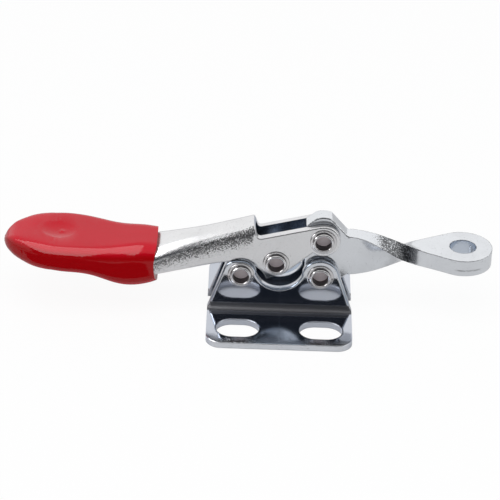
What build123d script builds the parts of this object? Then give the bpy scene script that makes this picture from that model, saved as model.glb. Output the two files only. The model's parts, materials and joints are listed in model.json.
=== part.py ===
from build123d import *

import os
from math import asin, atan2, cos, degrees, hypot, radians, sin, sqrt, tan

# Small toggle clamp with a horizontal lever, a flanged base and a twisted clamp arm.
# Millimetres. Origin: centre of the four mounting slots, on the underside of the base.
# +X points to the arm's tip, -X to the grip, +Z up. The clamp is modelled locked shut.

# ---- Sheet metal -----------------------------------------------------------
sheet_t = 1.2           # base plates and lever
plate_gap = 3.22        # clear space between the two webs, and between the lever's cheeks
arm_t = 3.0             # clamp arm
link_t = 1.5            # each of the two link plates

# ---- Base ------------------------------------------------------------------
base_length = 26.0
base_width = 28.8       # over both flanges
flange_corner_r = 2.8
edge_roll = 0.35        # rounding that shearing leaves on the web's outer edge
thin_roll = 0.25        # the same on the cheeks of the lever and the root of the arm
bend_r = 0.8            # inside radius of the flange bend
slot_length = 7.75
slot_width = 5.8
slot_pitch_x = 14.8
slot_pitch_y = 18.9
web_foot_inset = 0.3    # the web is this much shorter than the flange at each end
rear_ear_r = 2.75
front_ear_r = 3.3
rear_shoulder_r = 2.2
valley_depth = 2.75     # below the line of the base rivets

# ---- Pivots (x, z) ---------------------------------------------------------
rear_pivot = (-7.1, 8.25)
front_pivot = (7.1, 8.25)
link_pin = (-0.9, 10.85)
arm_pin = (7.35, 15.55)
arm_opening = 85.0      # degrees that the arm swings up

# ---- Rivets ----------------------------------------------------------------
rivet_r = 1.75
rivet_head_r = 2.38
rivet_head_h = 0.82
rivet_bore_r = 1.42
rivet_bore_depth = 1.9
set_fit = 0.02          # rivet in the plates it is set in
running_fit = 0.05      # rivet in the piece that turns on it
path_fit = 0.12         # rear rivet in the opened eye of the link

# ---- Link ------------------------------------------------------------------
link_eye_r = 3.05

# ---- Lever -----------------------------------------------------------------
lever_roll_r = 2.2      # outside radius between roof and cheeks
roof_end_x = -5.1
roof_end_height = 18.45
roof_slope = 16.5       # degrees
cheek_slope = 14.3      # degrees, top of the cheeks beside the opening
step_r = 0.7            # inside corner where the roof stops
arch_r = 3.3            # clears the rear ear
arch_start = 127.0      # degrees about the rear pivot
arch_end = 26.0
link_lobe_r = 2.6
arm_lobe_r = 3.0
neck_start_x = -10.0    # the channel widens from here
neck_drop_x = -16.2     # a point of the neck's lower edge
neck_drop_height = 9.55
mouth_edge_height = 8.55
tang_half_width = 5.2
tang_wide_x = -30.0
tang_end_x = -43.5
tang_corner_r = 3.0
tang_roof_height = 12.9
tang_edge_height = 10.9
tang_belly_height = 7.9

# ---- Grip ------------------------------------------------------------------
grip_mouth_x = -22.65   # middle of the hollowed rim
grip_mouth_r = 12.0     # radius of the hollow
belly_x = -27.3
paddle_x = -38.0
grip_tip_x = -49.5
grip_fit = 0.05
dimple_x = -39.2
dimple_top = 14.76      # height of the grip round the dimple
dimple_r = 3.0
dimple_depth = 0.4
gate_mark_r = 0.55      # nub in the middle of the dimple
gate_mark_h = 0.12

# ---- Clamp arm -------------------------------------------------------------
arm_eye_r = 2.95
arm_rear_x = 4.2
crown_height = 19.45
crown_rise = 0.28       # crown's bulge above its corners
crown_rear_x = 5.9
crown_front_x = 8.7
crown_corner_r = 0.5
nape_x = 11.65          # inside corner between crown and bar
nape_rise = 0.12        # above the bar's top where the twist starts
nape_run = 0.3          # from that corner to where its rounding ends
twist_start_x = 12.0
twist_end_x = 27.0
twist_ease = 1.15       # above 1 holds the bar upright for longer
bar_height = 12.15      # middle of the bar at the start of the twist
bar_width = 7.7
neck_width = 6.4        # at the end of the twist
waist_dip = 2.1         # how much the bar narrows between
twist_sections = 11
tab_height = 12.45      # middle of the tab's thickness
tab_x = 32.35
tab_r = 5.25
spindle_hole_r = 2.4

# ---- Derived ---------------------------------------------------------------
inner_y = plate_gap / 2
skin_y = inner_y + sheet_t
flange_y = base_width / 2
rivet_hole_r = rivet_r + set_fit
turning_hole_r = rivet_r + running_fit


def polar(center, radius, angle):
    """Point at an angle in degrees round a centre."""
    return (center[0] + radius * cos(radians(angle)), center[1] + radius * sin(radians(angle)))


def angle_to(start, end):
    """Direction from one point to another, in degrees."""
    return degrees(atan2(end[1] - start[1], end[0] - start[0]))


def distance(start, end):
    """Distance between two points."""
    return hypot(end[0] - start[0], end[1] - start[1])


def turned(point, center, angle):
    """A point turned about a centre by an angle in degrees."""
    return polar(center, distance(center, point), angle_to(center, point) + angle)


def tangent_point(start, center, radius, side):
    """Where the line from a point touches a circle, on its left (1) or right (-1) side."""
    reach = distance(start, center)
    lean = degrees(asin(radius / reach))
    return polar(start, sqrt(reach**2 - radius**2), angle_to(start, center) + side * lean)


# ---- Linkage ---------------------------------------------------------------
link_length = distance(rear_pivot, link_pin)
lever_length = distance(link_pin, arm_pin)
link_rest = angle_to(rear_pivot, link_pin)
lever_rest = angle_to(link_pin, arm_pin)


def closed_linkage(arm_angle):
    """Link and lever angles, from rest, that close the four-bar at an arm angle."""
    pin = turned(arm_pin, front_pivot, arm_angle)
    span = distance(rear_pivot, pin)
    along = (link_length**2 - lever_length**2 + span**2) / (2 * span)
    rise = sqrt(max(link_length**2 - along**2, 0))
    direction = angle_to(rear_pivot, pin)
    knee = polar(polar(rear_pivot, along, direction), rise, direction + 90)
    return angle_to(rear_pivot, knee) - link_rest, angle_to(knee, pin) - lever_rest


link_swing, lever_swing = closed_linkage(arm_opening)


def rear_rivet_in_link(share):
    """Where the rear rivet stands in the link's rest frame, at a share of the opening.

    The lever and the link turn in constant ratio to the arm, so between the two ends the
    link's rear eye leaves the rivet a little, and its hole is opened along this path.
    """
    pin = turned(arm_pin, front_pivot, share * arm_opening)
    knee = polar(pin, lever_length, lever_rest + share * lever_swing + 180)
    return polar(link_pin, distance(knee, rear_pivot), angle_to(knee, rear_pivot) - share * link_swing)


# ---- Base plates -----------------------------------------------------------
bend_top = sheet_t + bend_r
rear_ear_top = (rear_pivot[0], rear_pivot[1] + rear_ear_r)
web_foot_x = base_length / 2 - web_foot_inset
front_shoulder = tangent_point((web_foot_x, bend_top), front_pivot, front_ear_r, -1)
web_lean = (web_foot_x - front_shoulder[0]) / (front_shoulder[1] - bend_top)
rear_shoulder = (-web_foot_x + web_lean * (rear_ear_top[1] - bend_top), rear_ear_top[1])
valley_rear = (rear_pivot[0] + rear_ear_r, rear_pivot[1])
valley_front = (front_pivot[0] - front_ear_r, front_pivot[1])
valley_bottom = ((valley_rear[0] + valley_front[0]) / 2, rear_pivot[1] - valley_depth)

with BuildPart() as base_plate_near:
    # Folded L section: web inside, flange outside
    with BuildSketch(Plane.YZ):
        with BuildLine():
            web_top = front_pivot[1] + front_ear_r + 1
            Polyline((-skin_y, bend_top), (-skin_y, web_top), (-inner_y, web_top), (-inner_y, bend_top))
            RadiusArc((-inner_y, bend_top), (-skin_y - bend_r, 0), bend_r + sheet_t)
            Polyline((-skin_y - bend_r, 0), (-flange_y, 0), (-flange_y, sheet_t), (-skin_y - bend_r, sheet_t))
            RadiusArc((-skin_y - bend_r, sheet_t), (-skin_y, bend_top), -bend_r)
        make_face()
    extrude(amount=base_length / 2, both=True)
    # Outline of the web, seen from the side
    with BuildSketch(Plane.XZ) as web:
        with BuildLine():
            end_x = base_length / 2
            Polyline(
                rear_ear_top, rear_shoulder, (-web_foot_x, bend_top), (-end_x, sheet_t), (-end_x, 0),
                (end_x, 0), (end_x, sheet_t), (web_foot_x, bend_top), front_shoulder,
            )
            ThreePointArc(front_shoulder, polar(front_pivot, front_ear_r, 100), valley_front)
            ThreePointArc(valley_front, valley_bottom, valley_rear)
            ThreePointArc(valley_rear, polar(rear_pivot, rear_ear_r, 45), rear_ear_top)
        make_face()
        fillet(web.vertices().sort_by_distance((*rear_shoulder, 0))[0], rear_shoulder_r)
    extrude(amount=base_width, mode=Mode.INTERSECT)
    # Rounded flange corners
    fillet(base_plate_near.edges().filter_by(Axis.Z).group_by(Axis.Y)[0], flange_corner_r)
    # Mounting slots
    with BuildSketch(Plane.XY):
        with Locations((-slot_pitch_x / 2, -slot_pitch_y / 2), (slot_pitch_x / 2, -slot_pitch_y / 2)):
            SlotOverall(slot_length, slot_width)
    extrude(amount=sheet_t, mode=Mode.SUBTRACT)
    # Rivet holes
    with BuildSketch(Plane.XZ):
        with Locations(rear_pivot, front_pivot):
            Circle(rivet_hole_r)
    extrude(amount=skin_y, mode=Mode.SUBTRACT)
    # Rolled outer edge of the web
    web_skin = base_plate_near.faces().filter_by(lambda f: abs(f.center().Y + skin_y) < edge_roll / 10)[0]
    fillet(web_skin.outer_wire().edges().filter_by(lambda e: e.center().Z > bend_top + edge_roll), edge_roll)
base_plate_near.part.label = "base_plate_near"

with BuildPart() as base_plate_far:
    mirror(base_plate_near.part, about=Plane.XZ)
base_plate_far.part.label = "base_plate_far"


# ---- Rivets ----------------------------------------------------------------
rim_y = skin_y + rivet_head_h
foot_y = skin_y + 0.28 * rivet_head_h
rim_outer = (rivet_bore_r + rivet_head_r) / 2
crown_flat_r = rivet_head_r / 3


def semi_tubular_rivet(center):
    """Semi-tubular rivet: rolled rim and bore on the near side, low round head on the far side."""
    plane = Plane(origin=(center[0], 0, center[1]), x_dir=(1, 0, 0), z_dir=(0, 0, 1))
    with BuildPart() as rivet:
        with BuildSketch(plane):
            with BuildLine():
                Polyline((0, rim_y), (0, rivet_bore_depth - rim_y), (rivet_bore_r, rivet_bore_depth - rim_y),
                         (rivet_bore_r, 0.2 - rim_y))
                ThreePointArc((rivet_bore_r, 0.2 - rim_y), (rivet_bore_r + 0.06, 0.06 - rim_y),
                              (rivet_bore_r + 0.2, -rim_y))
                ThreePointArc((rivet_bore_r + 0.2, -rim_y), (rim_outer - 0.07, 0.07 - rim_y),
                              (rim_outer, 0.24 - rim_y))
                Polyline((rim_outer, 0.24 - rim_y), (rim_outer + 0.03, -foot_y), (rivet_head_r - 0.15, -foot_y))
                ThreePointArc((rivet_head_r - 0.15, -foot_y), (rivet_head_r - 0.04, 0.04 - foot_y),
                              (rivet_head_r, 0.15 - foot_y))
                Polyline((rivet_head_r, 0.15 - foot_y), (rivet_head_r, -skin_y), (rivet_r, -skin_y),
                         (rivet_r, skin_y), (rivet_head_r, skin_y), (rivet_head_r, skin_y + 0.25))
                ThreePointArc((rivet_head_r, skin_y + 0.25), (rivet_head_r - 0.5, rim_y - 0.2),
                              (crown_flat_r, rim_y))
                Line((crown_flat_r, rim_y), (0, rim_y))
            make_face()
        revolve(axis=Axis((center[0], 0, center[1]), (0, 1, 0)))
    return rivet.part


with BuildPart() as rear_base_rivet:
    add(semi_tubular_rivet(rear_pivot))
rear_base_rivet.part.label = "rear_base_rivet"

with BuildPart() as front_base_rivet:
    add(semi_tubular_rivet(front_pivot))
front_base_rivet.part.label = "front_base_rivet"

with BuildPart() as link_rivet:
    add(semi_tubular_rivet(link_pin))
link_rivet.part.label = "link_rivet"

with BuildPart() as arm_rivet:
    add(semi_tubular_rivet(arm_pin))
arm_rivet.part.label = "arm_rivet"

# ---- Link plates -----------------------------------------------------------
link_middle = ((rear_pivot[0] + link_pin[0]) / 2, (rear_pivot[1] + link_pin[1]) / 2)
path_steps = 12

with BuildPart() as link_plate_near:
    with BuildSketch(Plane.XZ):
        with Locations(Location((*link_middle, 0), (0, 0, link_rest))):
            SlotOverall(link_length + 2 * link_eye_r, 2 * link_eye_r)
        with Locations(link_pin):
            Circle(turning_hole_r, mode=Mode.SUBTRACT)
        # Rear eye, opened along the rivet's path
        with BuildSketch(mode=Mode.PRIVATE) as clearance:
            with Locations(*(rear_rivet_in_link(step / path_steps) for step in range(path_steps + 1))):
                Circle(rivet_r + path_fit)
            make_hull()
        add(clearance.sketch, mode=Mode.SUBTRACT)
    extrude(amount=link_t)
link_plate_near.part.label = "link_plate_near"

with BuildPart() as link_plate_far:
    mirror(link_plate_near.part, about=Plane.XZ)
link_plate_far.part.label = "link_plate_far"

# ---- Lever -----------------------------------------------------------------
lever_front_x = arm_pin[0] + 2 * arm_lobe_r
block_height = 2 * crown_height


def roof_height(x):
    """Height of the sloping roof over the neck."""
    return roof_end_height + (x - roof_end_x) * tan(radians(roof_slope))


def channel(half_width, drop, roll_r):
    """Roofed block of the lever: its plan outline cut by its roof line, with rolled top edges."""
    tang_half = tang_half_width - drop
    end_x = tang_end_x + drop
    with BuildPart() as block:
        with BuildSketch(Plane.XY) as plan:
            with BuildLine():
                Line((lever_front_x, half_width), (neck_start_x, half_width))
                Spline((neck_start_x, half_width), (tang_wide_x, tang_half), tangents=((-1, 0), (-1, 0)))
                Polyline((tang_wide_x, tang_half), (end_x, tang_half), (end_x, -tang_half),
                         (tang_wide_x, -tang_half))
                Spline((tang_wide_x, -tang_half), (neck_start_x, -half_width), tangents=((1, 0), (1, 0)))
                Polyline((neck_start_x, -half_width), (lever_front_x, -half_width),
                         (lever_front_x, half_width))
            make_face()
            fillet(plan.vertices().group_by(Axis.X)[0], tang_corner_r - drop)
        extrude(amount=block_height)
        with BuildSketch(Plane.XZ):
            with BuildLine():
                bend_x = grip_mouth_x - 1.3
                bend = (bend_x, roof_height(bend_x) - drop)
                end = (end_x - 1, tang_roof_height + 0.8 - drop)
                Line((lever_front_x, roof_height(lever_front_x) - drop), bend)
                Spline(
                    bend, (tang_wide_x, tang_roof_height - drop), end,
                    tangents=((-cos(radians(roof_slope)), -sin(radians(roof_slope))), (-1, 0.06)),
                )
                Polyline(
                    end, (end_x - 1, 0), (lever_front_x, 0),
                    (lever_front_x, roof_height(lever_front_x) - drop),
                )
            make_face()
        extrude(amount=base_width / 2, both=True, mode=Mode.INTERSECT)
        rims = block.edges().filter_by(lambda e: e.center().Z > tang_edge_height and abs(e.tangent_at(0.5).Z) < 0.9)
        fillet(rims.filter_by(lambda e: e.center().X < lever_front_x - 0.1), roll_r)
    return block.part


# Where the roof's end, square to its slope, meets the sloping top of the cheeks
lobe_top = polar(arm_pin, arm_lobe_r, 90 + cheek_slope)
roof_end = (roof_end_x, roof_end_height)
step_run = (
    (roof_end[1] - lobe_top[1] - (roof_end[0] - lobe_top[0]) * tan(radians(cheek_slope)))
    / (1 / tan(radians(roof_slope)) + tan(radians(cheek_slope)))
)
step = (roof_end[0] + step_run, roof_end[1] - step_run / tan(radians(roof_slope)))
over_roof = (roof_end[0] - 2 * tan(radians(roof_slope)), roof_end[1] + 2)
arch_foot = polar(rear_pivot, arch_r, arch_end)
lobe_rear = tangent_point(arch_foot, link_pin, link_lobe_r, -1)
lobe_front = polar(link_pin, link_lobe_r, -48)

lever_skin = channel(skin_y, 0, lever_roll_r)
lever_hollow = channel(inner_y, sheet_t, lever_roll_r - sheet_t)

with BuildPart() as handle_lever:
    add(lever_skin)
    add(lever_hollow, mode=Mode.SUBTRACT)
    # Side outline: lobes round the two pins, arch over the rear ear, step where the roof stops
    with BuildSketch(Plane.XZ) as side:
        with BuildLine():
            Polyline(over_roof, step, lobe_top)
            lobe_bottom = polar(arm_pin, arm_lobe_r, 233)
            ThreePointArc(lobe_top, polar(arm_pin, arm_lobe_r, -15), lobe_bottom)
            Line(lobe_bottom, lobe_front)
            ThreePointArc(lobe_front, polar(link_pin, link_lobe_r, -90), lobe_rear)
            Line(lobe_rear, arch_foot)
            ThreePointArc(
                arch_foot, polar(rear_pivot, arch_r, (arch_start + arch_end) / 2),
                polar(rear_pivot, arch_r, arch_start),
            )
            Polyline(
                polar(rear_pivot, arch_r, arch_start), (neck_drop_x, neck_drop_height),
                (grip_mouth_x, mouth_edge_height), (belly_x, tang_belly_height),
                (tang_wide_x - 4, tang_edge_height), (tang_end_x - 1, tang_edge_height),
                (tang_end_x - 1, over_roof[1]), over_roof,
            )
        make_face()
        fillet(side.vertices().sort_by_distance((*step, 0))[0], step_r)
    extrude(amount=base_width / 2, both=True, mode=Mode.INTERSECT)
    with BuildSketch(Plane.XZ):
        with Locations(link_pin, arm_pin):
            Circle(rivet_hole_r)
    extrude(amount=base_width / 2, both=True, mode=Mode.SUBTRACT)
    # Rolled outer edges of the cheeks, in front of the neck and clear of the roof
    cheeks = handle_lever.faces().filter_by(Axis.Y).filter_by(
        lambda f: abs(abs(f.center().Y) - skin_y) < thin_roll / 10
    )
    rolled = [
        edge for cheek in cheeks for edge in cheek.outer_wire().edges()
        if edge.center().X > neck_start_x + thin_roll
        and (edge.center().X > step[0] + step_r or edge.center().Z < step[1] - step_r)
    ]
    fillet(rolled, thin_roll)
handle_lever.part.label = "handle_lever"

# ---- Grip ------------------------------------------------------------------
# Stations along the grip: x, half width, top, bottom, corner radius
grip_stations = [
    (grip_mouth_x + 1.2, 5.25, 14.25, 7.3, 2.7),
    (grip_mouth_x - 1.6, 5.6, 14.35, 6.2, 2.9),
    (belly_x, 5.9, 14.25, 6.05, 2.8),
    (belly_x - 2.7, 6.35, 14.15, 6.95, 2.5),
    (belly_x - 5.7, 6.95, 14.35, 8.5, 2.2),
    (paddle_x + 2.0, 7.35, 14.6, 9.4, 2.0),
    (paddle_x - 1.0, 7.45, 14.75, 9.7, 1.9),
    (grip_tip_x + 7.5, 7.1, 14.95, 9.8, 2.0),
    (grip_tip_x + 5.0, 6.3, 15.0, 10.0, 2.0),
    (grip_tip_x + 3.5, 5.4, 15.0, 10.2, 2.0),
    (grip_tip_x + 2.2, 4.4, 14.75, 10.6, 1.9),
    (grip_tip_x + 1.3, 3.4, 14.25, 11.1, 1.55),
    (grip_tip_x + 0.7, 2.5, 13.8, 11.45, 1.15),
    (grip_tip_x + 0.3, 1.65, 13.35, 11.8, 0.75),
    (grip_tip_x, 0.7, 12.9, 12.3, 0.28),
]

# Space for the lever's tang, closed across its open underside
tang_hull = channel(skin_y + grip_fit, -grip_fit, lever_roll_r + grip_fit)

with BuildPart() as tang_space:
    add(tang_hull)
    with BuildSketch(Plane.XZ):
        with BuildLine():
            Polyline(
                (grip_mouth_x + 2, mouth_edge_height - grip_fit),
                (grip_mouth_x, mouth_edge_height - grip_fit),
                (belly_x, tang_belly_height - grip_fit),
                (tang_wide_x - 4, tang_edge_height - grip_fit),
                (tang_end_x - 1, tang_edge_height - grip_fit),
                (tang_end_x - 1, block_height), (grip_mouth_x + 2, block_height), close=True,
            )
        make_face()
    extrude(amount=base_width / 2, both=True, mode=Mode.INTERSECT)

with BuildPart() as grip:
    for x, half_width, top, bottom, corner in grip_stations:
        with BuildSketch(Plane(origin=(x, 0, (top + bottom) / 2), x_dir=(0, 1, 0), z_dir=(1, 0, 0))):
            RectangleRounded(2 * half_width, top - bottom, corner)
    loft()
    # Hollowed rim of the mouth
    mouth_middle = (grip_stations[0][2] + grip_stations[0][3]) / 2
    with BuildSketch(Plane.XZ):
        with Locations((grip_mouth_x + grip_mouth_r, mouth_middle)):
            Circle(grip_mouth_r)
    extrude(amount=base_width / 2, both=True, mode=Mode.SUBTRACT)
    # Shallow round dimple on the top, with the gate mark in its middle
    ball_r = (dimple_r**2 + dimple_depth**2) / (2 * dimple_depth)
    with Locations((dimple_x, 0, dimple_top - dimple_depth + ball_r)):
        Sphere(ball_r, mode=Mode.SUBTRACT)
    mark_ball_r = (gate_mark_r**2 + gate_mark_h**2) / (2 * gate_mark_h)
    with Locations((dimple_x, 0, dimple_top - dimple_depth + gate_mark_h - mark_ball_r)):
        Sphere(mark_ball_r)
    add(tang_space.part, mode=Mode.SUBTRACT)
grip.part.label = "grip"


# ---- Clamp arm -------------------------------------------------------------
def twist_plane(s):
    """Section plane at a share of the twist, its x axis across the bar's width."""
    eased = s**twist_ease
    turn = radians(90 * eased * eased * (3 - 2 * eased))
    return Plane(
        origin=(twist_start_x + (twist_end_x - twist_start_x) * s, 0, bar_height + (tab_height - bar_height) * s),
        x_dir=(0, -sin(turn), cos(turn)),
        z_dir=(1, 0, 0),
    )


def twist_width(s):
    """Width of the bar at a share of the twist, narrowest at two thirds."""
    return bar_width + (neck_width - bar_width) * s - waist_dip * 6.75 * s * s * (1 - s)


bar_top = (twist_start_x, bar_height + bar_width / 2)
bar_bottom = (twist_start_x, bar_height - bar_width / 2)
eye_front = tangent_point(bar_bottom, front_pivot, arm_eye_r, 1)
eye_rear = (arm_rear_x, front_pivot[1] - sqrt(arm_eye_r**2 - (front_pivot[0] - arm_rear_x) ** 2))
tab_touch = tangent_point((twist_end_x, neck_width / 2), (tab_x, 0), tab_r, 1)

with BuildPart() as clamp_arm:
    # Root, standing between the cheeks
    with BuildSketch(Plane.XZ) as root:
        with BuildLine():
            ThreePointArc(eye_front, polar(front_pivot, arm_eye_r, -90), eye_rear)
            crown_rear = (crown_rear_x, crown_height)
            crown_front = (crown_front_x, crown_height)
            Polyline(eye_rear, (arm_rear_x, crown_height - (crown_rear_x - arm_rear_x) * 0.8), crown_rear)
            ThreePointArc(crown_rear, ((crown_rear_x + crown_front_x) / 2, crown_height + crown_rise), crown_front)
            nape = (nape_x, bar_top[1] + nape_rise)
            Polyline(crown_front, nape, bar_top, bar_bottom, eye_front)
        make_face()
        nape_turn = radians(angle_to(nape, bar_top) - angle_to(crown_front, nape))
        fillet(root.vertices().sort_by_distance((*nape, 0))[0], nape_run / tan(nape_turn / 2))
        fillet(root.vertices().sort_by_distance((*crown_front, 0))[0], crown_corner_r)
        fillet(root.vertices().sort_by_distance((*crown_rear, 0))[0], crown_corner_r)
    extrude(amount=arm_t / 2, both=True)
    # Quarter twist
    for i in range(twist_sections):
        s = i / (twist_sections - 1)
        with BuildSketch(twist_plane(s)):
            Rectangle(twist_width(s), arm_t)
    loft()
    # Flat tab
    with BuildSketch(Plane.XY.offset(tab_height - arm_t / 2)):
        with BuildLine():
            Polyline((tab_touch[0], -tab_touch[1]), (twist_end_x, -neck_width / 2), (twist_end_x, neck_width / 2),
                     tab_touch)
            ThreePointArc(tab_touch, (tab_x + tab_r, 0), (tab_touch[0], -tab_touch[1]))
        make_face()
    extrude(amount=arm_t)
    with BuildSketch(Plane.XY.offset(tab_height - arm_t)):
        with Locations((tab_x, 0)):
            Circle(spindle_hole_r)
    extrude(amount=2 * arm_t, mode=Mode.SUBTRACT)
    with BuildSketch(Plane.XZ):
        with Locations(front_pivot, arm_pin):
            Circle(turning_hole_r)
    extrude(amount=arm_t / 2, both=True, mode=Mode.SUBTRACT)
    # Rolled edges of the root
    sides = clamp_arm.faces().filter_by(Axis.Y).filter_by(
        lambda f: abs(abs(f.center().Y) - arm_t / 2) < thin_roll / 10
    )
    rolled = [
        edge for side in sides for edge in side.outer_wire().edges()
        if edge.center().X < twist_start_x - nape_run / 30
    ]
    fillet(rolled, thin_roll)
clamp_arm.part.label = "clamp_arm"

# ---- One file per piece ----------------------------------------------------
os.makedirs("parts", exist_ok=True)
export_step(base_plate_near.part, "parts/base_plate_near.step")
export_step(base_plate_far.part, "parts/base_plate_far.step")
export_step(rear_base_rivet.part, "parts/rear_base_rivet.step")
export_step(front_base_rivet.part, "parts/front_base_rivet.step")
export_step(link_rivet.part, "parts/link_rivet.step")
export_step(arm_rivet.part, "parts/arm_rivet.step")
export_step(link_plate_near.part, "parts/link_plate_near.step")
export_step(link_plate_far.part, "parts/link_plate_far.step")
export_step(handle_lever.part, "parts/handle_lever.step")
export_step(grip.part, "parts/grip.step")
export_step(clamp_arm.part, "parts/clamp_arm.step")
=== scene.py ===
import json
import math

import bmesh
import bpy
from mathutils import Matrix, Vector
from mathutils.bvhtree import BVHTree

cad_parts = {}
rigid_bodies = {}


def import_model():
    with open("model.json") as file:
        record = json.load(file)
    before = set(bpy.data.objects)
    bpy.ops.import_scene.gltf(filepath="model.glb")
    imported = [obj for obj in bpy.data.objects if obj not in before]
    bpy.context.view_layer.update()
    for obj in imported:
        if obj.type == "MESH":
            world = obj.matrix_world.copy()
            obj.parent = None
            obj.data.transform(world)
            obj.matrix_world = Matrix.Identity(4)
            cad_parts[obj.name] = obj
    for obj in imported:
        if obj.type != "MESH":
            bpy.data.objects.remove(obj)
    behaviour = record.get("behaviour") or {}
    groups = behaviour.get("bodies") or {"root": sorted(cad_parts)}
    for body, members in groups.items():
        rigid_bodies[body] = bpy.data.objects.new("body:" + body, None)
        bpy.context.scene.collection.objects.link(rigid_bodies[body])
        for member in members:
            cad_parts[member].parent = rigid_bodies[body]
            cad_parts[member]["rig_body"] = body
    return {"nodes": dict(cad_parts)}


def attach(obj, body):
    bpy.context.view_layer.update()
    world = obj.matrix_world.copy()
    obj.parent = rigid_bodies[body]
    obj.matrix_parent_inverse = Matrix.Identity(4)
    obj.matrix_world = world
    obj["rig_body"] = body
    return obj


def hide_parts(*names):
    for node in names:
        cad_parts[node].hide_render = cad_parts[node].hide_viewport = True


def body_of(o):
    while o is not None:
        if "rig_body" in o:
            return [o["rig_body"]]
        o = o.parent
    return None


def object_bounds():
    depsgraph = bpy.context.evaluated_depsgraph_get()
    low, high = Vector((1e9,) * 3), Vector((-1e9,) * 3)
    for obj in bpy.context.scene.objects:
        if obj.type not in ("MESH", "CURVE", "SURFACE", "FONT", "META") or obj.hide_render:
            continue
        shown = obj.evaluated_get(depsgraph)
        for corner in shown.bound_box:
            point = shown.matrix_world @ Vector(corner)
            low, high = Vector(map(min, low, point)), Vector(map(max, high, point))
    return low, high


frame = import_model()
cad_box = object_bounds()
scene = bpy.context.scene
scene.view_settings.view_transform = "Standard"
MM = 0.001

# ---- Places on the clamp that the finish follows -------------------------------
INNER_FACE = 1.61       # mm from the middle to the inner faces of the base plates and the lever
OUTER_FACE = 2.81       # and to their outer faces
ROOF_SLOPE = 16.5       # degrees, the lever's roof
ROOF_LINE = 19.14       # mm from the origin square to the roof
ROOF_END = -5.1         # mm, where the roof stops
EYE_X = 32.35           # mm, the hole in the arm's flat eye
EYE_HOLE_R = 3.2        # mm, a circle between the hole's wall and the outside of the eye
EYE_SIDE = 3.6          # mm from the middle, beyond which the eye's outer wall lies
BORE_FLOOR = -2.0       # mm along Y, just ahead of the floor of the rivets' bores
BORE_MOUTH = -3.42      # mm along Y, where the rolled rim of a bore begins
DIMPLE_X = -39.2        # mm, the dimple on the grip
DIMPLE_EDGE = 3.1       # mm, the radius round the dimple that keeps its shape
GRIP_MIDDLE = 12.6      # mm, a height inside the grip all along its blunt end

# ---- Colours, linear -------------------------------------------------------------
WHITE = (1, 1, 1, 1)
CARD_DARK = (0.030, 0.033, 0.040, 1)
# Painted shade between the base plates and between the lever's cheeks
ZINC_INSIDE_SHADE = (0.30, 0.37, 0.48, 1)
# Painted reflection on the lower web and the inner flange
ZINC_LOW_WEB_REFLECTION = (0.50, 0.53, 0.60, 1)
ZINC_BEND = (0.13, 0.13, 0.138, 1)
# Painted dark blue reflection on the web's rolled edge
ZINC_RIM_REFLECTION = (0.20, 0.27, 0.37, 1)
# Painted dark blue reflection on the flange between the slots
ZINC_SLOTS_REFLECTION = (0.30, 0.36, 0.45, 1)
# Painted shade on the wall of the arm's eye hole
ZINC_EYE_HOLE_SHADE = (0.46, 0.54, 0.66, 1)
SCRATCH = (0.10, 0.10, 0.10, 1)
# Painted dark reflection along the arm's rounded upper edges
EDGE_REFLECTION_DARK = (0.05, 0.05, 0.055, 1)
RIVET_TONES = (0.60, 0.59, 0.60, 1), (0.72, 0.71, 0.71, 1)
# Painted shade on the wall of the rivets' bores
RIVET_WALL_SHADE = (0.06, 0.055, 0.058, 1)
RIVET_FLOOR = (0.95, 0.84, 0.86, 1)
VINYL_TOP = (0.57, 0.002, 0.015, 1), (0.62, 0.004, 0.020, 1)
# Painted shade on the grip's sides
VINYL_SIDE_SHADE = (0.34, 0.001, 0.003, 1)


# ---- Camera ----------------------------------------------------------------------
def add_camera():
    """Camera at the photograph's viewing angle, slightly rolled, aimed at the middle of the clamp."""
    turn = math.radians(-0.186)
    rise = math.radians(30.36)
    roll = math.radians(2.017)
    distance = 0.450
    target = Vector((-5.627 * MM, 0, 11.79 * MM))
    back = Vector((math.sin(turn) * math.cos(rise), -math.cos(turn) * math.cos(rise), math.sin(rise)))
    side = Vector((math.cos(turn), math.sin(turn), 0))
    up = back.cross(side)
    right = side * math.cos(roll) + up * math.sin(roll)
    top = up * math.cos(roll) - side * math.sin(roll)
    data = bpy.data.cameras.new("camera")
    data.sensor_width = 36
    data.lens = 181.11
    data.clip_start = 0.01
    data.clip_end = 20
    camera = bpy.data.objects.new("camera", data)
    axes = Matrix((right, top, back)).transposed().to_4x4()
    camera.matrix_world = Matrix.Translation(target + back * distance) @ axes
    scene.collection.objects.link(camera)
    scene.camera = camera


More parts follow.
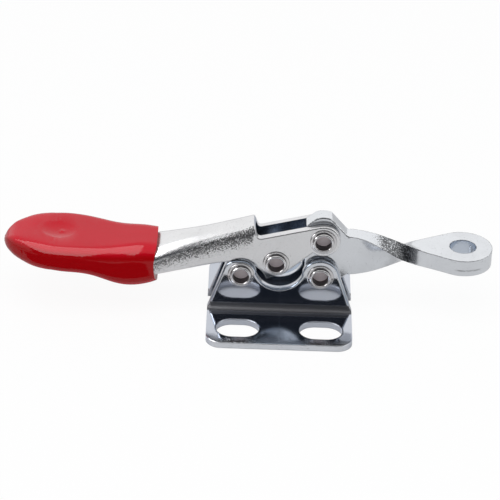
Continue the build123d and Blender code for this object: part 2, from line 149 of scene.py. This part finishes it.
# ---- Shader helpers --------------------------------------------------------------
class Tree:
    """Short calls for building a node tree."""

    def __init__(self, owner):
        owner.use_nodes = True
        self.tree = owner.node_tree
        self.tree.nodes.clear()

    def add(self, kind, **values):
        node = self.tree.nodes.new("ShaderNode" + kind)
        for name, value in values.items():
            setattr(node, name, value)
        return node

    def link(self, source, target):
        self.tree.links.new(source, target)

    def fill(self, socket, value):
        if isinstance(value, bpy.types.NodeSocket):
            self.link(value, socket)
        else:
            socket.default_value = value

    def math(self, operation, a, b=0.0):
        node = self.add("Math", operation=operation)
        self.fill(node.inputs[0], a)
        self.fill(node.inputs[1], b)
        return node.outputs[0]

    def product(self, first, *others):
        for other in others:
            first = self.math("MULTIPLY", first, other)
        return first

    def total(self, first, *others):
        for other in others:
            first = self.math("ADD", first, other)
        return first

    def above(self, value, limit):
        return self.math("GREATER_THAN", value, limit)

    def below(self, value, limit):
        return self.math("LESS_THAN", value, limit)

    def spread(self, value, low, high, to_low, to_high):
        """One smooth step between two values, flat outside the range from low to high."""
        node = self.add("MapRange", interpolation_type="SMOOTHSTEP")
        self.fill(node.inputs["Value"], value)
        node.inputs["From Min"].default_value = low
        node.inputs["From Max"].default_value = high
        node.inputs["To Min"].default_value = to_low
        node.inputs["To Max"].default_value = to_high
        return node.outputs[0]

    def rising(self, value, low, high):
        """0 up to low, 1 from high on."""
        return self.spread(value, low, high, 0.0, 1.0)

    def falling(self, value, low, high):
        """1 up to low, 0 from high on."""
        return self.spread(value, low, high, 1.0, 0.0)

    def mix_colour(self, factor, a, b):
        node = self.add("Mix", data_type="RGBA")
        self.fill(node.inputs[0], factor)
        self.fill(node.inputs[6], a)
        self.fill(node.inputs[7], b)
        return node.outputs[2]

    def mix_shader(self, factor, a, b):
        node = self.add("MixShader")
        self.link(factor, node.inputs[0])
        self.link(a.outputs[0], node.inputs[1])
        self.link(b.outputs[0], node.inputs[2])
        return node

    def noise(self, size_mm, detail=2.0, roughness=0.5, stretch=(1, 1, 1), turn=(0, 0, 0)):
        coords = self.add("TexCoord")
        mapping = self.add("Mapping")
        self.link(coords.outputs["Object"], mapping.inputs["Vector"])
        mapping.inputs["Scale"].default_value = stretch
        mapping.inputs["Rotation"].default_value = turn
        node = self.add("TexNoise")
        self.link(mapping.outputs[0], node.inputs["Vector"])
        node.inputs["Scale"].default_value = 1000 / size_mm
        node.inputs["Detail"].default_value = detail
        node.inputs["Roughness"].default_value = roughness
        return node.outputs[0]

    def axis_of(self, vector, axis):
        split = self.add("SeparateXYZ")
        self.link(vector, split.inputs[0])
        return split.outputs[axis]

    def normal(self, axis):
        """Object-space normal along one axis, -1 to 1."""
        return self.axis_of(self.add("TexCoord").outputs["Normal"], axis)

    def normal_part(self, axis):
        """The same, 0 to 1 either way."""
        return self.math("ABSOLUTE", self.normal(axis))

    def position(self, axis):
        """Object-space coordinate along one axis, in millimetres."""
        return self.math("DIVIDE", self.axis_of(self.add("TexCoord").outputs["Object"], axis), MM)

    def away(self, axis):
        """Distance in millimetres from the middle plane across one axis."""
        return self.math("ABSOLUTE", self.position(axis))

    def rounded_edge(self, radius_mm):
        node = self.add("Bevel", samples=6)
        node.inputs["Radius"].default_value = radius_mm * MM
        return node.outputs[0]

    def bump(self, height, depth_mm, strength, normal=None):
        node = self.add("Bump")
        node.inputs["Distance"].default_value = depth_mm * MM
        node.inputs["Strength"].default_value = strength
        self.link(height, node.inputs["Height"])
        if normal is not None:
            self.link(normal, node.inputs["Normal"])
        return node.outputs[0]

    def output(self, shader, kind="Material"):
        self.link(shader.outputs[0], self.add("Output" + kind).inputs[0])


def scaled(colour, factor):
    return tuple(factor * part for part in colour) + (1,)


# ---- Studio ----------------------------------------------------------------------
def add_world():
    """Soft light from all round; the camera, reflections and clear pieces see it as plain white."""
    world = bpy.data.worlds.new("studio")
    scene.world = world
    tree = Tree(world)
    ambient = tree.add("Background")
    ambient.inputs["Color"].default_value = (0.97, 0.98, 1, 1)
    ambient.inputs["Strength"].default_value = 0.55
    seen = tree.add("Background")
    seen.inputs["Color"].default_value = WHITE
    seen.inputs["Strength"].default_value = 1.0
    path = tree.add("LightPath")
    direct = tree.math("MAXIMUM", path.outputs["Is Camera Ray"], path.outputs["Is Glossy Ray"])
    direct = tree.math("MAXIMUM", direct, path.outputs["Is Transmission Ray"])
    tree.output(tree.mix_shader(direct, ambient, seen), "World")


def quad(name, width, depth):
    mesh = bpy.data.meshes.new(name)
    x, y = width / 2, depth / 2
    mesh.from_pydata([(-x, -y, 0), (x, -y, 0), (x, y, 0), (-x, y, 0)], [], [(0, 1, 2, 3)])
    piece = bpy.data.objects.new(name, mesh)
    scene.collection.objects.link(piece)
    return piece


def facing(location, target, axis="Z"):
    """Placement with one of its axes towards a target."""
    aim = (Vector(target) - Vector(location)).to_track_quat(axis, "Y")
    return Matrix.Translation(location) @ aim.to_matrix().to_4x4()


def add_floor():
    """Even white for the camera under a soft shadow; reflections see more of the shadow."""
    floor_size = 12
    drop = 0.00002
    floor = quad("floor", floor_size, floor_size)
    floor.location.z = cad_box[0][2] - drop
    material = bpy.data.materials.new("floor_white")
    tree = Tree(material)
    path = tree.add("LightPath")
    camera_ray = path.outputs["Is Camera Ray"]
    reflected = tree.math("MAXIMUM", path.outputs["Is Glossy Ray"], path.outputs["Is Transmission Ray"])
    matt = tree.add("BsdfDiffuse")
    paper = tree.mix_colour(camera_ray, (0.76, 0.76, 0.76, 1), (0.96, 0.96, 0.96, 1))
    tree.link(paper, matt.inputs["Color"])
    glow = tree.add("Emission")
    glow.inputs["Color"].default_value = WHITE
    share = tree.total(tree.product(camera_ray, 0.93), tree.product(reflected, 0.02))
    tree.output(tree.mix_shader(share, matt, glow))
    floor.data.materials.append(material)


def add_card(name, colour, strength, width, depth, placement, from_below=False):
    """Card that only the polished metal and the gloss of the grip reflect; it neither lights nor shades."""
    card = quad(name, width, depth)
    card.matrix_world = placement
    material = bpy.data.materials.new(name)
    tree = Tree(material)
    shown = tree.add("Emission")
    shown.inputs["Color"].default_value = colour
    shown.inputs["Strength"].default_value = strength
    if from_below:
        under = tree.add("NewGeometry").outputs["Backfacing"]
        shown = tree.mix_shader(under, tree.add("BsdfTransparent"), shown)
    tree.output(shown)
    card.data.materials.append(material)
    card.visible_camera = False
    card.visible_diffuse = False
    card.visible_transmission = False
    card.visible_shadow = False


def add_light(name, location, target, width, height, radiance):
    """Rectangular lamp that no polished face mirrors."""
    data = bpy.data.lights.new(name, "AREA")
    data.shape = "RECTANGLE"
    data.size = width
    data.size_y = height
    data.energy = radiance * math.pi * width * height
    light = bpy.data.objects.new(name, data)
    light.matrix_world = facing(location, target, "-Z")
    light.visible_glossy = False
    scene.collection.objects.link(light)


# ---- Where the finish differs or light and shade are painted: each of these is 1 there and 0 elsewhere ---
def upright_edges(tree):
    """The sheared edges of upright sheet."""
    return tree.falling(tree.normal_part("Y"), 0.5, 0.9)


def lever_edges(tree):
    """The sheared edges of the lever, ahead of the end of its roof."""
    return tree.product(upright_edges(tree), tree.above(tree.position("X"), ROOF_END))


def plate_edges(tree):
    """The sheared edges of a base plate, on its web and on its flange."""
    web = tree.product(upright_edges(tree), tree.above(tree.position("Z"), 2.1))
    level_edge = tree.falling(tree.normal_part("Z"), 0.3, 0.6)
    flange = tree.product(level_edge, tree.above(tree.away("Y"), 4.0))
    return tree.math("MAXIMUM", web, flange)


def inside(tree):
    """The faces between the two base plates or between the lever's cheeks, but no top."""
    within = tree.below(tree.away("Y"), INNER_FACE + 0.03)
    return tree.product(within, tree.below(tree.normal("Z"), 0.5))


def low_web(tree):
    """The lower part of a base plate, up to the flange's outer strip, where a dark reflection is painted."""
    low = tree.spread(tree.position("Z"), 5.0, 7.5, 0.8, 0.0)
    return tree.product(low, tree.falling(tree.away("Y"), 12.8, 14.2))


def bend_darkening(tree):
    """The inside of the bend between web and flange, made darker and duller."""
    low = tree.falling(tree.position("Z"), 2.35, 2.6)
    foot = tree.falling(tree.away("Y"), 3.55, 3.75)
    outside = tree.above(tree.away("Y"), OUTER_FACE - 0.1)
    return tree.product(low, foot, outside)


def flange_rim(tree):
    """The flange's top along its long edge, which shearing left grainy."""
    far = tree.rising(tree.away("Y"), 12.4, 13.9)
    low = tree.below(tree.position("Z"), 2.0)
    return tree.product(far, low, tree.rising(tree.normal("Z"), 0.6, 0.9))


def rolled_rim(tree):
    """The rolled outer edge of the web, where a dark blue reflection is painted."""
    across = tree.normal_part("Y")
    turned = tree.product(tree.rising(across, 0.2, 0.45), tree.falling(across, 0.86, 0.97))
    outside = tree.above(tree.away("Y"), OUTER_FACE - 0.4)
    return tree.product(turned, outside, tree.above(tree.position("Z"), 2.7))


def flange_slot_reflection(tree):
    """The flange's top between its slots, where a dark blue reflection is painted."""
    between = tree.falling(tree.away("X"), 3.5, 6.5)
    low = tree.below(tree.position("Z"), 1.5)
    level = tree.rising(tree.normal("Z"), 0.6, 0.9)
    return tree.product(between, low, level, tree.rising(tree.away("Y"), 6.0, 8.0))


def roll_grain(tree):
    """The lever's rolled shoulders, fading down its cheeks, behind the end of the roof."""
    slope = math.radians(ROOF_SLOPE)
    x = tree.position("X")
    height = tree.product(tree.position("Z"), math.cos(slope))
    along = tree.product(x, math.sin(slope))
    depth = tree.math("SUBTRACT", ROOF_LINE, tree.math("SUBTRACT", height, along))
    widening = tree.product(tree.total(x, 15.0), 0.09)
    shoulder = tree.rising(tree.total(depth, widening), 1.0, 1.8)
    return tree.product(shoulder, tree.falling(depth, 2.0, 5.0), tree.below(x, ROOF_END))


def twist_grain(tree):
    """The sheared edges of the arm where they turn from the vertical to the flat."""
    both = tree.product(tree.normal("Y"), tree.normal("Z"), -1.0)
    return tree.rising(both, 0.16, 0.42)


def eye_hole(tree):
    """The wall of the hole in the arm's flat eye, where shade is painted."""
    x = tree.math("SUBTRACT", tree.position("X"), EYE_X)
    y = tree.position("Y")
    from_middle = tree.math("SQRT", tree.total(tree.product(x, x), tree.product(y, y)))
    upright = tree.falling(tree.normal_part("Z"), 0.4, 0.7)
    return tree.product(tree.below(from_middle, EYE_HOLE_R), upright)


def eye_scratch(tree):
    """A fine broken scratch along the outer wall of the arm's flat eye."""
    x = tree.position("X")
    z = tree.position("Z")
    along = tree.product(tree.rising(x, 30.4, 31.6), tree.falling(x, 34.6, 36.0))
    band = tree.product(tree.rising(z, 11.75, 11.95), tree.falling(z, 12.05, 12.25))
    side = tree.product(tree.falling(tree.normal("Y"), -0.8, -0.5), tree.above(tree.away("Y"), EYE_SIDE))
    broken = tree.rising(tree.noise(0.16, 2.0, 0.6, stretch=(0.4, 1, 1)), 0.36, 0.56)
    return tree.product(along, band, side, broken)


def arm_edge_reflection(tree, rounded):
    """A painted dark reflection along the arm's upper edges, where the rounded normal leaves the face's own.
    """
    between = tree.add("VectorMath", operation="DOT_PRODUCT")
    tree.link(rounded, between.inputs[0])
    tree.link(tree.add("NewGeometry").outputs["Normal"], between.inputs[1])
    turned = tree.falling(between.outputs["Value"], 0.90, 0.985)
    own = tree.add("VectorTransform", vector_type="NORMAL", convert_from="WORLD", convert_to="OBJECT")
    tree.link(rounded, own.inputs[0])
    upward = tree.above(tree.axis_of(own.outputs[0], "Z"), 0.2)
    broken = tree.rising(tree.noise(0.5, 2.0, 0.6), 0.38, 0.5)
    return tree.product(turned, upward, broken)


# ---- Materials ---------------------------------------------------------------------
GRAINED = {"folded": flange_rim, "lever": roll_grain, "arm": twist_grain}
SHEARED = {"folded": plate_edges, "lever": lever_edges}


def zinc(name, colour, polish, flat_grain, turned_grain, grain_mm, kind=None, edge_mm=0.25):
    """Zinc-plated steel: polished flats, tumbled grain where the surface turns, rough sheared edges."""
    material = bpy.data.materials.new(name)
    tree = Tree(material)
    shader = tree.add("BsdfPrincipled")
    shader.inputs["Metallic"].default_value = 1.0
    rounded = tree.rounded_edge(edge_mm)
    cloud = tree.noise(6.0, 3.0, 0.55)
    fine = tree.noise(grain_mm, 2.0, 0.6)

    tone = tree.mix_colour(tree.rising(cloud, 0.35, 0.65), scaled(colour, 0.94), scaled(colour, 1.0))
    rough = tree.spread(cloud, 0.3, 0.7, polish * 0.85, polish * 1.2)
    grained = GRAINED[kind](tree) if kind in GRAINED else 0.0
    spots = tree.rising(tree.total(fine, tree.product(grained, 0.27)), 0.66, 0.74)
    tone = tree.mix_colour(tree.product(spots, 0.9), tone, scaled(colour, 0.10))
    uneven = grained
    if kind in SHEARED:
        uneven = tree.math("MAXIMUM", grained, SHEARED[kind](tree))
        # Painted shade: the faces between the base plates and between the lever's cheeks are darker and
        # bluer.
        tone = tree.mix_colour(tree.product(inside(tree), 0.7), tone, ZINC_INSIDE_SHADE)
    rough = tree.total(rough, tree.product(uneven, 0.16))
    if kind == "folded":
        # Painted reflections on the plate, its darker bend and its scribed line.
        tone, rough = plate_reflections_and_marks(tree, tone, rough)
    if kind == "arm":
        # Painted shade: the wall of the eye hole is darker and bluer.
        tone = tree.mix_colour(tree.product(eye_hole(tree), 0.55), tone, ZINC_EYE_HOLE_SHADE)
        tone = tree.mix_colour(tree.product(eye_scratch(tree), 0.6), tone, SCRATCH)
        # Painted reflection: a broken dark line along the arm's rounded upper edges.
        tone = tree.mix_colour(tree.product(arm_edge_reflection(tree, rounded), 0.85), tone, EDGE_REFLECTION_DARK)
    tree.link(tone, shader.inputs["Base Color"])
    tree.link(rough, shader.inputs["Roughness"])

    scratches = tree.noise(0.22, 2.0, 0.6, stretch=(0.06, 1, 1), turn=(0, 0.25, 0.1))
    pits = tree.product(fine, tree.total(flat_grain, tree.product(uneven, turned_grain)))
    ripple = tree.bump(tree.noise(2.6), 0.02, 0.35, rounded)
    scoring = tree.bump(scratches, 0.004, 0.4, ripple)
    tree.link(tree.bump(pits, 0.03, 1.0, scoring), shader.inputs["Normal"])
    tree.output(shader)
    return material


def plate_reflections_and_marks(tree, tone, rough):
    """Painted reflections on a base plate (its darker lower web, dark blue rolled rims and blue flange
    between the slots), its darker and duller bend, and the fine line scribed across its middle.
    """
    # Painted reflection: the lower web and the inner flange are darker and bluer.
    tone = tree.mix_colour(low_web(tree), tone, ZINC_LOW_WEB_REFLECTION)
    # Darker and duller along the bend.
    bend_dark = bend_darkening(tree)
    tone = tree.mix_colour(tree.product(bend_dark, 0.95), tone, ZINC_BEND)
    # Painted reflection: the rolled rim of the web is dark blue.
    tone = tree.mix_colour(tree.product(rolled_rim(tree), 0.65), tone, ZINC_RIM_REFLECTION)
    # Painted reflection: the flange between the slots is darker and bluer; it is also a little rougher.
    slot_reflection = flange_slot_reflection(tree)
    tone = tree.mix_colour(tree.product(slot_reflection, 0.8), tone, ZINC_SLOTS_REFLECTION)
    scribed = tree.spread(tree.away("X"), 0.02, 0.09, 0.12, 0.0)
    rough = tree.total(rough, tree.product(bend_dark, 0.45), tree.product(slot_reflection, 0.06), scribed)
    return tone, rough


def rivet_zinc():
    """Bright rivet whose bore has painted shade on its wall and a pale matt floor."""
    material = bpy.data.materials.new("zinc_rivet")
    tree = Tree(material)
    shader = tree.add("BsdfPrincipled")
    y = tree.position("Y")
    along = tree.normal_part("Y")
    near = tree.below(y, 0)
    floor = tree.product(near, tree.above(y, BORE_FLOOR), tree.rising(along, 0.6, 0.8))
    wall = tree.product(near, tree.above(y, BORE_MOUTH), tree.falling(along, 0.35, 0.7))
    tree.link(tree.math("SUBTRACT", 1.0, floor), shader.inputs["Metallic"])
    cloud = tree.noise(1.2)
    tone = tree.mix_colour(cloud, *RIVET_TONES)
    # Painted shade: the bore's wall is nearly black.
    tone = tree.mix_colour(tree.product(wall, 0.93), tone, RIVET_WALL_SHADE)
    tree.link(tree.mix_colour(floor, tone, RIVET_FLOOR), shader.inputs["Base Color"])
    rough = tree.spread(cloud, 0.3, 0.7, 0.09, 0.14)
    rough = tree.total(rough, tree.product(floor, 0.45), tree.product(wall, 0.25))
    tree.link(rough, shader.inputs["Roughness"])
    dents = tree.bump(tree.noise(0.7), 0.03, 0.6, tree.rounded_edge(0.12))
    tree.link(dents, shader.inputs["Normal"])
    tree.output(shader)
    return material


def red_vinyl():
    """Dipped red vinyl: glossy and faintly wavy, with painted shade darkening it down its sides."""
    material = bpy.data.materials.new("vinyl_red")
    tree = Tree(material)
    shader = tree.add("BsdfPrincipled")
    shader.inputs["IOR"].default_value = 1.33
    top = tree.mix_colour(tree.rising(tree.noise(9.0), 0.3, 0.7), *VINYL_TOP)
    # Painted shade: the grip's sides are a darker red than its top.
    side = tree.falling(tree.normal_part("Z"), 0.35, 0.85)
    tree.link(tree.mix_colour(side, top, VINYL_SIDE_SHADE), shader.inputs["Base Color"])
    rubbed = tree.noise(0.5, 3.0, 0.6, stretch=(0.3, 1, 1))
    tree.link(tree.spread(rubbed, 0.45, 0.75, 0.07, 0.13), shader.inputs["Roughness"])
    tree.link(tree.bump(tree.noise(4.5), 0.05, 0.5), shader.inputs["Normal"])
    tree.output(shader)
    return material


def dress(mesh, material):
    mesh.materials.clear()
    mesh.materials.append(material)


def dress_nodes(material, *names):
    for name in names:
        dress(frame["nodes"][name].data, material)


# ---- The grip's skin -----------------------------------------------------------------
EVEN_FROM = -48.9 * MM      # the stretch along X that is evened out
EVEN_TO = -39.6 * MM
EVEN_FADE = 3.0 * MM        # over which the evening sets in at either end of it
EVEN_WIDTH = 1.6 * MM       # the spread of the average along X
RING_STEP = 0.3 * MM


def cut_rings(work):
    """Cuts the mesh across X at even steps, so that it has enough points to follow a smoother line."""
    x = EVEN_FROM
    while x < EVEN_TO:
        geometry = work.verts[:] + work.edges[:] + work.faces[:]
        bmesh.ops.bisect_plane(work, geom=geometry, plane_co=(x, 0, 0), plane_no=(1, 0, 0))
        x += RING_STEP
    bmesh.ops.remove_doubles(work, verts=work.verts[:], dist=0.001 * MM)
    bmesh.ops.triangulate(work, faces=work.faces[:])


def skin_radius(skin, x, outward):
    """Distance from the grip's middle line to its skin, or None where the ray finds none."""
    reach = 30 * MM
    start = Vector((x, 0, GRIP_MIDDLE * MM)) + outward * reach
    hit = skin.ray_cast(start, -outward)
    return None if hit[0] is None else reach - hit[3]


def even_width(x, y, z):
    """The spread of the average at one point: none at the ends of the stretch and at the dimple."""
    share = min(1.0, (x - EVEN_FROM) / EVEN_FADE, (EVEN_TO - x) / EVEN_FADE)
    width = EVEN_WIDTH * share * share * (3 - 2 * share)
    if z > GRIP_MIDDLE * MM:
        from_dimple = math.hypot(x - DIMPLE_X * MM, y) / MM
        width *= min(1.0, max(0.0, (from_dimple - DIMPLE_EDGE) / 1.5))
    return width


def smooth_grip():
    """The grip, its skin evened out near the blunt end, where the sections of the solid meet in a corner."""
    node = frame["nodes"]["grip"]
    mesh = node.data.copy()
    mesh.name = "grip_skin"
    work = bmesh.new()
    work.from_mesh(mesh)
    cut_rings(work)
    skin = BVHTree.FromBMesh(work)
    middle = GRIP_MIDDLE * MM
    offsets = [share / 4 for share in range(-9, 10)]
    moved = []
    for vertex in work.verts:
        x, y, z = vertex.co
        if not EVEN_FROM < x < EVEN_TO:
            continue
        outward = Vector((0, y, z - middle)).normalized()
        here = skin_radius(skin, x, outward)
        if here is None or abs(here - math.hypot(y, z - middle)) > 0.03 * MM:
            continue    # a point of the inside
        width = even_width(x, y, z)
        total = weight = 0.0
        for offset in offsets:
            there = skin_radius(skin, x + offset * width, outward)
            if there is not None:
                part = math.exp(-offset * offset / 2)
                total += part * there
                weight += part
        moved.append((vertex, Vector((x, 0, middle)) + outward * (total / weight)))
    for vertex, place in moved:
        vertex.co = place
    work.to_mesh(mesh)
    work.free()
    if "custom_normal" in mesh.attributes:
        mesh.attributes.remove(mesh.attributes["custom_normal"])
    mesh.shade_smooth()
    mesh.set_sharp_from_angle(angle=math.radians(35))
    grip = bpy.data.objects.new("grip_skin", mesh)
    scene.collection.objects.link(grip)
    grip.matrix_world = node.matrix_world
    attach(grip, body_of(node)[0])
    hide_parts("grip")
    return grip


# ---- The scene -------------------------------------------------------------------------
add_camera()
add_world()
add_floor()
add_card("card_upright", CARD_DARK, 1.0, 2.2, 0.80, facing((0, -0.80, 0.38), (0, 0, 0.01)))
add_card("card_lying", CARD_DARK, 1.0, 2.2, 0.75, Matrix.Translation((0, -0.45, 0.001)))
add_card("card_by_grip", CARD_DARK, 1.0, 0.063, 0.065, Matrix.Translation((-0.052, -0.0465, 0.0005)))
over_grip = Matrix.Translation((-0.04475, -0.022, 0.030))
add_card("card_over_grip", WHITE, 5.0, 0.0425, 0.048, over_grip, from_below=True)
add_light("softbox", (-0.05, -0.24, 0.56), (0, 0, 0.01), width=0.55, height=0.36, radiance=2.9)

zinc_base = zinc("zinc_base", (0.74, 0.76, 0.80), polish=0.07, flat_grain=0.05, turned_grain=0.3,
                 grain_mm=0.25, kind="folded", edge_mm=0.4)
zinc_lever = zinc("zinc_lever", (0.79, 0.79, 0.80), polish=0.22, flat_grain=0.12, turned_grain=0.5,
                  grain_mm=0.22, kind="lever")
zinc_arm = zinc("zinc_arm", (0.77, 0.79, 0.82), polish=0.17, flat_grain=0.12, turned_grain=0.7,
                grain_mm=0.21, kind="arm")
zinc_link = zinc("zinc_link", (0.70, 0.72, 0.75), polish=0.14, flat_grain=0.1, turned_grain=0.3,
                 grain_mm=0.28)
vinyl = red_vinyl()
dress_nodes(zinc_base, "base_plate_near", "base_plate_far")
dress_nodes(rivet_zinc(), "rear_base_rivet", "front_base_rivet", "link_rivet", "arm_rivet")
dress_nodes(zinc_lever, "handle_lever")
dress_nodes(zinc_arm, "clamp_arm")
dress_nodes(zinc_link, "link_plate_near", "link_plate_far")
dress_nodes(vinyl, "grip")
dress(smooth_grip().data, vinyl)
